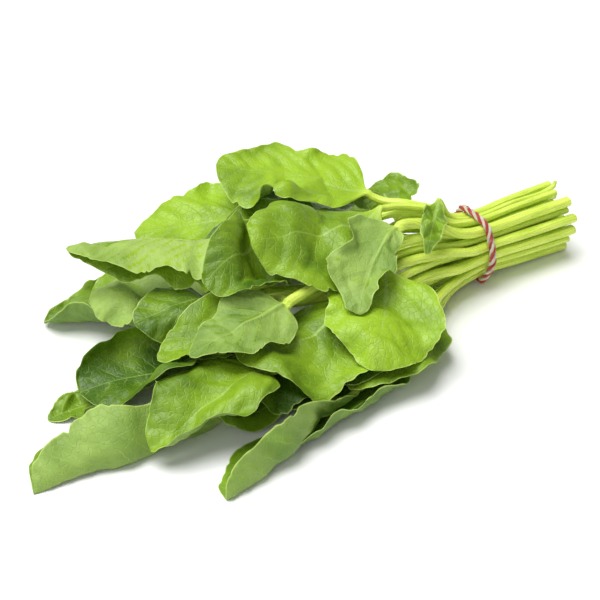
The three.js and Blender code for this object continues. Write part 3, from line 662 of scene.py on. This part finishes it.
def veinMasks(w, at, place):
    # how strongly the side veins, the midrib and the net of fine veins show; a side vein wanders slightly
    wander = w.maths("MULTIPLY", w.maths("SUBTRACT", w.noise(place, 0.14, 2.0), 0.5), 0.7)
    wandering = w.maths("ADD", at["veinPhase"], wander)
    offVein = w.maths("ABSOLUTE", w.maths("SUBTRACT", wandering, w.maths("ROUND", wandering)))
    nearVein = w.maths("MULTIPLY", offVein, leafStyle["veinSpacing"] / mm)
    veinWidth = w.ramp(at["fromMidrib"], 0.0, 24.0, 0.55, 0.2)
    sideVein = w.ramp(w.maths("DIVIDE", nearVein, veinWidth), 0.1, 1.0, 1.0, 0.0)
    sideVein = w.maths("MULTIPLY", sideVein, w.ramp(at["fromEdge"], 1.5, 9.0))
    sideVein = w.maths("MULTIPLY", sideVein, w.ramp(w.noise(place, 0.08, 2.0), 0.38, 0.6, 0.25, 1.0))
    halfRib = w.ramp(at["towardTip"], 0.0, 0.9, 1.3, 0.3)
    midrib = w.ramp(w.maths("DIVIDE", at["fromMidrib"], halfRib), 0.25, 1.0, 1.0, 0.0)

    cells = w.put("ShaderNodeTexVoronoi", feature="DISTANCE_TO_EDGE")
    bent = w.put("ShaderNodeVectorMath", operation="MULTIPLY_ADD")
    noiseBend = w.put("ShaderNodeTexNoise")
    w.link(place, noiseBend.inputs["Vector"])
    noiseBend.inputs["Scale"].default_value = 0.35
    w.link(noiseBend.outputs["Color"], bent.inputs[0])
    bent.inputs[1].default_value = (1.8, 1.8, 0.0)
    w.link(place, bent.inputs[2])
    w.link(bent.outputs[0], cells.inputs["Vector"])
    cells.inputs["Scale"].default_value = 0.36
    net = w.ramp(cells.outputs["Distance"], 0.0, 0.1, 1.0, 0.0)
    return sideVein, midrib, net


def bladeColour(w, at, place, speckle, sideVein, midrib, net):
    # dark and light greens in broad patches, paler towards the stalk, with the veins over them and a painted
    # highlight along the margin
    c, towardTip, under = leafColours, at["towardTip"], at["underside"]
    patchy = w.maths("MULTIPLY", w.maths("SUBTRACT", w.noise(place, 0.035, 3.0), 0.5), 2.2)
    # the leaf's tone darkens leaves that lie in the shadow of others: partly painted shade, partly the leaf's own
    # green
    light = w.maths("ADD", w.maths("MULTIPLY", at["leafToneAndShade"], 0.85), patchy)
    light = w.maths("ADD", light, w.maths("MULTIPLY", w.maths("SUBTRACT", speckle, 0.5), 0.3))
    light = w.maths("ADD", light, w.ramp(towardTip, 0.0, 0.45, 0.25, 0.0), True)
    upper = w.mix(light, c["upperDark"], c["upperLight"])
    lower = w.mix(light, c["underDark"], c["underLight"])
    blade = w.mix(under, upper, lower)
    blade = w.mix(w.maths("MULTIPLY", net, 0.1), blade, c["vein"])
    blade = w.mix(w.maths("MULTIPLY", sideVein, w.ramp(under, 0.0, 1.0, 0.3, 0.45)), blade, c["vein"])
    blade = w.mix(w.maths("MULTIPLY", midrib, w.ramp(towardTip, 0.1, 1.0, 0.85, 0.3)), blade, c["vein"])
    # a pale line along the edge: painted highlight where the rim catches the light
    return w.mix(w.ramp(at["fromEdge"], 0.1, 0.8, 0.75, 0.0), blade, c["margin"])


def leafFinish():
    # one finish for every leaf; the noises are laid out along and round each leaf, in millimetres
    material, shader, w = plainFinish("spinachLeafFinish")
    known = (
        "alongLeaf", "roundLeaf", "onBlade", "leafToneAndShade", "underside",
        "fromMidrib", "fromEdge", "veinPhase", "towardTip", "cutEnd",
    )
    at = {name: w.attribute(name) for name in known}
    along, across, onBlade, c = at["alongLeaf"], at["roundLeaf"], at["onBlade"], leafColours
    place = w.point(along, across, w.maths("MULTIPLY", at["leafToneAndShade"], 173.0))
    speckle = w.noise(place, 0.9, 4.0)
    sideVein, midrib, net = veinMasks(w, at, place)
    blade = bladeColour(w, at, place, speckle, sideVein, midrib, net)

    # stalk: pale yellow green, with darker lines along it
    lines = w.noise(w.point(w.maths("MULTIPLY", along, 0.05), across), 1.6, 3.0)
    stalk = w.mix(w.ramp(lines, 0.36, 0.68), c["stalk"], c["stalkDark"])
    stalk = w.mix(w.ramp(w.noise(place, 0.08, 2.0), 0.42, 0.75, 0.0, 0.4), stalk, c["stalkDark"])
    colour = w.mix(onBlade, stalk, blade)
    cutTone = w.mix(w.ramp(w.noise(w.point(along, across), 2.5, 2.0), 0.4, 0.7), c["cut"], c["cutRim"])
    w.link(w.mix(at["cutEnd"], colour, cutTone), shader.inputs["Base Color"])

    # a dull sheen, duller below and glossier on the stalk, with a little light passing through
    rough = w.ramp(speckle, 0.3, 0.7, 0.34, 0.50)
    rough = w.maths("ADD", rough, w.maths("MULTIPLY", at["underside"], 0.14))
    rough = w.maths("SUBTRACT", rough, w.ramp(onBlade, 0.0, 0.6, 0.12, 0.0))
    w.link(rough, shader.inputs["Roughness"])
    shader.inputs["Specular IOR Level"].default_value = 0.45
    shader.inputs["Subsurface Weight"].default_value = 0.06
    shader.inputs["Subsurface Radius"].default_value = (0.5, 0.9, 0.1)
    shader.inputs["Subsurface Scale"].default_value = 1.0 * mm

    # fine grain: sunk veins and specks on the blade, lines along the stalk
    height = w.maths("MULTIPLY", net, -0.6)
    height = w.maths("ADD", height, w.maths("MULTIPLY", speckle, 0.45))
    height = w.maths("ADD", height, w.maths("MULTIPLY", w.noise(place, 2.6, 3.0), 0.3))
    height = w.maths("SUBTRACT", height, w.maths("MULTIPLY", sideVein, 0.6))
    height = w.maths("MULTIPLY", height, onBlade)
    height = w.maths("ADD", height, w.maths("MULTIPLY", lines, w.maths("SUBTRACT", 1.0, onBlade)))
    w.bump(height, 0.6, 0.3 * mm, shader)
    return material


leafMaterial = leafFinish()
for piece in leafPieces:
    piece.data.materials.append(leafMaterial)
print("leaf finish laid on")


twine = {
    "radius": 1.6 * mm,
    "gap": 0.3 * mm,          # between the twine and the stalks
    "plies": 4,
    "twistPitch": 12.5 * mm,
    "twistUneven": (0.12, 13 * mm),     # radians, and how far apart
    "slowSwell": (0.06, 5 * mm),        # share of a ply's radius, and how far apart
    "quickSwell": (0.04, 2.3 * mm),
    "sidesOfPly": 12,
    "red": (0.50, 0.045, 0.035),
    "cream": (0.78, 0.70, 0.56),
    "knotAngle": 0.3,         # radians above the back of the loop
    "knotOut": 1.9 * mm,
    "knotSize": 0.78 * mm,
    "tailEnds": ((-4.5 * mm, 5.4 * mm, -13 * mm), (4.5 * mm, 5.4 * mm, -17 * mm)),
    "fuzzPerMetre": 1500,
    "fuzzLength": 1.5 * mm,
    "fuzzRadius": 0.035 * mm,
    "fibrePoints": 6,         # points along a loose fibre
    "fraysAtEnd": 26,         # loose fibres at each cut end
}


def stalkSections():
    # where each stalk passes the tie, with its radius
    tiePlace = leafRings[leafNames[0]][0][2].mean(axis=0)[0]
    sections = []
    for name in leafNames:
        rings = leafRings[name][0]
        ring = rings[int(np.argmin(np.abs(rings[:6].mean(axis=1)[:, 0] - tiePlace)))]
        centre = ring.mean(axis=0)
        sections.append((centre, np.linalg.norm(ring[0] - centre)))
    return sections


def tieRing():
    # the furthest stalk in each direction holds the twine out
    sections = stalkSections()
    middle = np.mean([c for c, _ in sections], axis=0)

    def support(a):
        reaches = [(c[1] - middle[1]) * math.cos(a) + (c[2] - middle[2]) * math.sin(a) + r for c, r in sections]
        return max(reaches) + twine["gap"] + twine["radius"]

    ring, step, count = [], 0.02, 240
    for i in range(count):
        a = i / count * 2 * math.pi
        h = sum(support(a + k * 0.035) for k in (-2, -1, 0, 1, 2)) / 5
        slope = (support(a + step) - support(a - step)) / (2 * step)
        y, z = h * math.cos(a) - slope * math.sin(a), h * math.sin(a) + slope * math.cos(a)
        ring.append((middle[0], middle[1] + y, middle[2] + z))
    ring = np.array(ring)
    for _ in range(3):
        ring = (np.roll(ring, 1, axis=0) + 2 * ring + np.roll(ring, -1, axis=0)) / 4
    return ring


def resampled(path, step, closed):
    if closed:
        path = np.concatenate([path, path[:1]])
    marks = distancesAlong(path)
    count = max(4, int(round(marks[-1] / step)))
    where = np.linspace(0, marks[-1], count + 1)
    if closed:
        where = where[:-1]
    return curveThrough(marks, path, where), marks[-1]


def framesAlong(path, closed):
    tangents = np.roll(path, -1, axis=0) - np.roll(path, 1, axis=0)
    if not closed:
        tangents[0], tangents[-1] = path[1] - path[0], path[-1] - path[-2]
    tangents = unit(tangents)
    side = np.cross(tangents[0], (1.0, 0.2, 0.1))
    sides = []
    for tangent in tangents:
        side = unit(side - tangent * (side @ tangent))
        sides.append(side)
    sides = np.array(sides)
    return tangents, sides, np.cross(tangents, sides)


def addTwinePiece(name, points, faces, along, around, finish):
    mesh = smoothMesh(name, points, faces)
    storeValues(mesh, "alongPly", "POINT", along)
    storeValues(mesh, "roundPly", "POINT", around)
    mesh.materials.append(finish)
    return addPiece(name, mesh, "twine_tie")


def layPly(name, path, closed, start, finish, radius, splay=None):
    # one ply winding round the path; splay opens the winding out at the ends
    length = np.linalg.norm(np.diff(path, axis=0), axis=1).sum()
    tangents, sides, ups = framesAlong(path, closed)
    turns = max(1, round(length / twine["twistPitch"])) if closed else length / twine["twistPitch"]
    n = len(path)
    drift = 0.0
    if closed:
        # the frame turns a little on its way round, so the winding closes on itself
        drift = math.atan2(sides[-1] @ ups[0], sides[-1] @ sides[0])
    f = np.arange(n) / (n if closed else n - 1)
    angle = start + 2 * np.pi * turns * f - drift * f
    uneven, every = twine["twistUneven"]
    angle = angle + uneven * np.sin(2 * np.pi * (f * round(length / every) + start))
    plyRadius = radius / (1 + math.sqrt(2))
    offset = (radius - plyRadius) * (np.ones(n) if splay is None else splay)
    wave = np.cos(angle)[:, None] * sides + np.sin(angle)[:, None] * ups
    middle = path + wave * offset[:, None]
    tangents = framesAlong(middle, closed)[0]
    out = unit(wave - tangents * (wave * tangents).sum(axis=1, keepdims=True))
    other = np.cross(tangents, out)
    k = twine["sidesOfPly"]
    around = np.linspace(0, 2 * np.pi, k, endpoint=False)
    (slowBy, slowEvery), (quickBy, quickEvery) = twine["slowSwell"], twine["quickSwell"]
    slow = np.sin(2 * np.pi * (f * round(length / slowEvery) + start * 3))
    quick = np.sin(2 * np.pi * (f * round(length / quickEvery) + start))
    swell = 1.05 + slowBy * slow + quickBy * quick
    r = (plyRadius * swell)[:, None]
    rings = middle[:, None] + (np.cos(around) * r)[..., None] * out[:, None]
    rings = rings + (np.sin(around) * r)[..., None] * other[:, None]
    index = np.arange(n * k).reshape(n, k)
    following = np.roll(index, -1, axis=0) if closed else index[1:]
    row = index if closed else index[:-1]
    corners = [row, np.roll(row, -1, axis=1), np.roll(following, -1, axis=1), following]
    quads = np.stack(corners, axis=-1).reshape(-1, 4)
    points = rings.reshape(-1, 3)
    faces = [tuple(q) for q in quads.tolist()]
    alongPly, roundPly = np.repeat(f * length / mm, k), np.tile(around * plyRadius / mm, n)
    if not closed:
        points = np.concatenate([points, middle[:1], middle[-1:]])
        faces += [(n * k, int(index[0, (i + 1) % k]), int(index[0, i])) for i in range(k)]
        faces += [(n * k + 1, int(index[-1, i]), int(index[-1, (i + 1) % k])) for i in range(k)]
        alongPly, roundPly = np.concatenate([alongPly, [0, length / mm]]), np.concatenate([roundPly, [0, 0]])
    return addTwinePiece(name, points, faces, alongPly, roundPly, finish)


def knotPath(at, heading, out):
    # tail, small overhand knot, tail; heading runs along the loop and out points away from the stalks
    wide = np.array((1.0, 0.0, 0.0))
    centre = at + out * twine["knotOut"]
    size = twine["knotSize"]
    t = np.linspace(0.16, 0.84, 40) * 2 * np.pi + np.pi / 2
    knot = []
    for a in t:
        across, up = math.sin(a) + 2 * math.sin(2 * a), math.cos(a) - 2 * math.cos(2 * a)
        knot.append(centre + size * (wide * across + heading * up - out * 1.5 * math.sin(3 * a)))
    pieces = []
    for end, near in zip(twine["tailEnds"], (knot[0], knot[-1])):
        bend = centre + np.array((end[0] * 0.7, end[1] * 1.15, 0.5 * mm))
        f = np.linspace(0.12, 1, 16)[:, None]
        pieces.append((1 - f) ** 2 * near + 2 * f * (1 - f) * bend + f**2 * (centre + np.array(end)))
    path = np.concatenate([pieces[0][::-1], knot, pieces[1]])
    for _ in range(4):
        path[1:-1] = (path[:-2] + 2 * path[1:-1] + path[2:]) / 4
    return path


def layFuzz(name, path, seed, finish, middle, frays=()):
    # loose fibres standing out of the twine, and brushes of them at cut ends
    chance = np.random.default_rng(seed)
    tangents, sides, ups = framesAlong(path, False)
    length = np.linalg.norm(np.diff(path, axis=0), axis=1).sum()
    fibres = []
    while len(fibres) < int(length * twine["fuzzPerMetre"] / 2):
        i = chance.integers(1, len(path) - 1)
        a = chance.uniform(0, 2 * np.pi)
        out = sides[i] * math.cos(a) + ups[i] * math.sin(a)
        if out @ (path[i] - middle) > 0:
            lean = tangents[i] * chance.uniform(-1.3, 1.3)
            fibres.append((path[i] + out * twine["radius"] * 0.85, out + lean, 1.0))
    for end, heading in frays:
        for _ in range(twine["fraysAtEnd"]):
            spread = chance.normal(0, 1, 3)
            fibres.append((end + spread * 0.45 * mm - heading * 0.5 * mm, heading + spread * 0.35, 1.3))
    points, faces, along, around = [], [], [], []
    n = twine["fibrePoints"]
    thirds = [k * 2.0944 for k in range(3)]
    for start, heading, stretch in fibres:
        reach = twine["fuzzLength"] * stretch * chance.uniform(0.4, 1.3)
        heading, bend = unit(heading), unit(chance.normal(0, 1, 3))
        f = np.linspace(0, 1, n)[:, None]
        line = start + heading * f * reach + bend * f**2 * reach * 0.55
        _, side, up = framesAlong(line, False)
        thin = twine["fuzzRadius"] * (1 - 0.7 * f)
        base = len(points)
        for turn in thirds:
            points += (line + thin * (side * math.cos(turn) + up * math.sin(turn))).tolist()
        for j in range(n - 1):
            for k in range(3):
                a, b = base + k * n + j, base + (k + 1) % 3 * n + j
                faces.append((a, b, b + 1, a + 1))
        along += [start[1] / mm * 3] * (3 * n)
        around += [start[2] / mm * 3] * (3 * n)
    points = np.array(points)
    points[:, 2] = np.maximum(points[:, 2], lowest)
    return addTwinePiece(name, points, faces, along, around, finish)


def plyFinish(name, colour, fleck):
    material, shader, w = plainFinish(name)
    along, around = w.attribute("alongPly"), w.attribute("roundPly")
    slant = w.maths("ADD", w.maths("MULTIPLY", along, 0.8), around)
    strands = w.noise(w.point(w.maths("MULTIPLY", slant, 4.0), w.maths("MULTIPLY", along, 0.4)), 1.6, 4.0, 0.65)
    dark = tuple(0.5 * v for v in colour)
    shade = w.mix(w.ramp(strands, 0.3, 0.62), dark, colour)
    pale = tuple(min(1, v * 1.15 + 0.06) for v in colour)
    shade = w.mix(w.ramp(strands, 0.62, 0.85, 0.0, 0.6), shade, pale)
    flecks = w.noise(w.point(w.maths("MULTIPLY", slant, 1.6), w.maths("MULTIPLY", along, 0.25)), 0.9, 3.0, 0.6)
    shade = w.mix(w.ramp(flecks, 0.56, 0.7, 0.0, 0.45), shade, fleck)
    w.link(shade, shader.inputs["Base Color"])
    w.link(w.ramp(strands, 0.2, 0.8, 0.95, 0.8), shader.inputs["Roughness"])
    shader.inputs["Sheen Weight"].default_value = 0.25
    shader.inputs["Sheen Roughness"].default_value = 0.6
    shader.inputs["Specular IOR Level"].default_value = 0.2
    w.bump(strands, 0.9, 0.12 * mm, shader)
    return material


def windTwine():
    finishes = [
        plyFinish("twineCreamFinish", twine["cream"], twine["red"]),
        plyFinish("twineRedFinish", twine["red"], twine["cream"]),
    ]
    ring = tieRing()
    loop, loopLength = resampled(ring, 0.4 * mm, True)
    middle = ring.mean(axis=0)
    i = round(twine["knotAngle"] / (2 * math.pi) * len(ring))
    out = np.array((0, math.cos(twine["knotAngle"]), math.sin(twine["knotAngle"])))
    heading = unit(np.cross((1.0, 0.0, 0.0), out))
    tails, tailLength = resampled(knotPath(ring[i], heading, out), 0.35 * mm, False)
    f = np.linspace(0, 1, len(tails))
    splay = 1 + 0.9 * smoothStep(np.abs(f - 0.5), 0.46, 0.5)
    for k in range(twine["plies"]):
        start, finish = k * 2 * math.pi / twine["plies"], finishes[k % 2]
        layPly(f"twine_loop_ply_{k + 1}", loop, True, start, finish, twine["radius"])
        layPly(f"twine_tail_ply_{k + 1}", tails, False, start, finish, twine["radius"] * 0.86, splay)
    ends = [(tails[0], unit(tails[0] - tails[3])), (tails[-1], unit(tails[-1] - tails[-4]))]
    for k, colour in enumerate(("cream", "red")):
        layFuzz(f"twine_loop_fuzz_{colour}", loop, 5 + k, finishes[k], middle)
        layFuzz(f"twine_tail_fuzz_{colour}", tails, 9 + k, finishes[k], middle, ends)
    print("twine wound round the stalks:", round(loopLength / mm), "mm")
    print("knot and tails:", round(tailLength / mm), "mm")


windTwine()


def makeTable():
    mesh = bpy.data.meshes.new("paleTable")
    r, shade = studio["tableReach"], studio["tableShade"]
    mesh.from_pydata([(-r, -r, 0), (r, -r, 0), (r, r, 0), (-r, r, 0)], [], [(0, 1, 2, 3)])
    material, shader, _ = plainFinish("paleTableFinish")
    shader.inputs["Base Color"].default_value = (shade, shade, shade, 1)
    shader.inputs["Roughness"].default_value = 0.9
    mesh.materials.append(material)
    table = bpy.data.objects.new("paleTable", mesh)
    scene.collection.objects.link(table)


studio = {
    "roomLight": 0.20,
    "tableShade": 0.97,
    "tableReach": 6,              # metres from the bunch to each edge of the table
    "overheadFrom": (-0.3, 0.25, 1.25),
    "overheadStrength": 3.4,
    "overheadSpread": 48,         # degrees, as wide as a big soft box close above
    "frontFrom": (-1.0, -0.9, 0.9),
    "frontSize": 1.0,
    "frontPower": 5,
}


def addLamp(name, kind, origin, **settings):
    data = bpy.data.lights.new(name, kind)
    for key, value in settings.items():
        setattr(data, key, value)
    lamp = bpy.data.objects.new(name, data)
    lamp.location = origin
    lamp.rotation_mode = "QUATERNION"
    lamp.rotation_quaternion = (-Vector(origin)).to_track_quat("-Z", "Y")
    scene.collection.objects.link(lamp)


def makeLights():
    world = bpy.data.worlds.new("whiteRoom")
    world.use_nodes = True
    background = world.node_tree.nodes["Background"]
    background.inputs["Color"].default_value = (1, 1, 1, 1)
    background.inputs["Strength"].default_value = studio["roomLight"]
    scene.world = world
    spread = math.radians(studio["overheadSpread"])
    addLamp("overheadLight", "SUN", studio["overheadFrom"], energy=studio["overheadStrength"], angle=spread)
    addLamp("frontBox", "AREA", studio["frontFrom"], energy=studio["frontPower"], size=studio["frontSize"])


makeTable()
makeLights()
scene.view_settings.view_transform = "Standard"
print("table and lights ready")
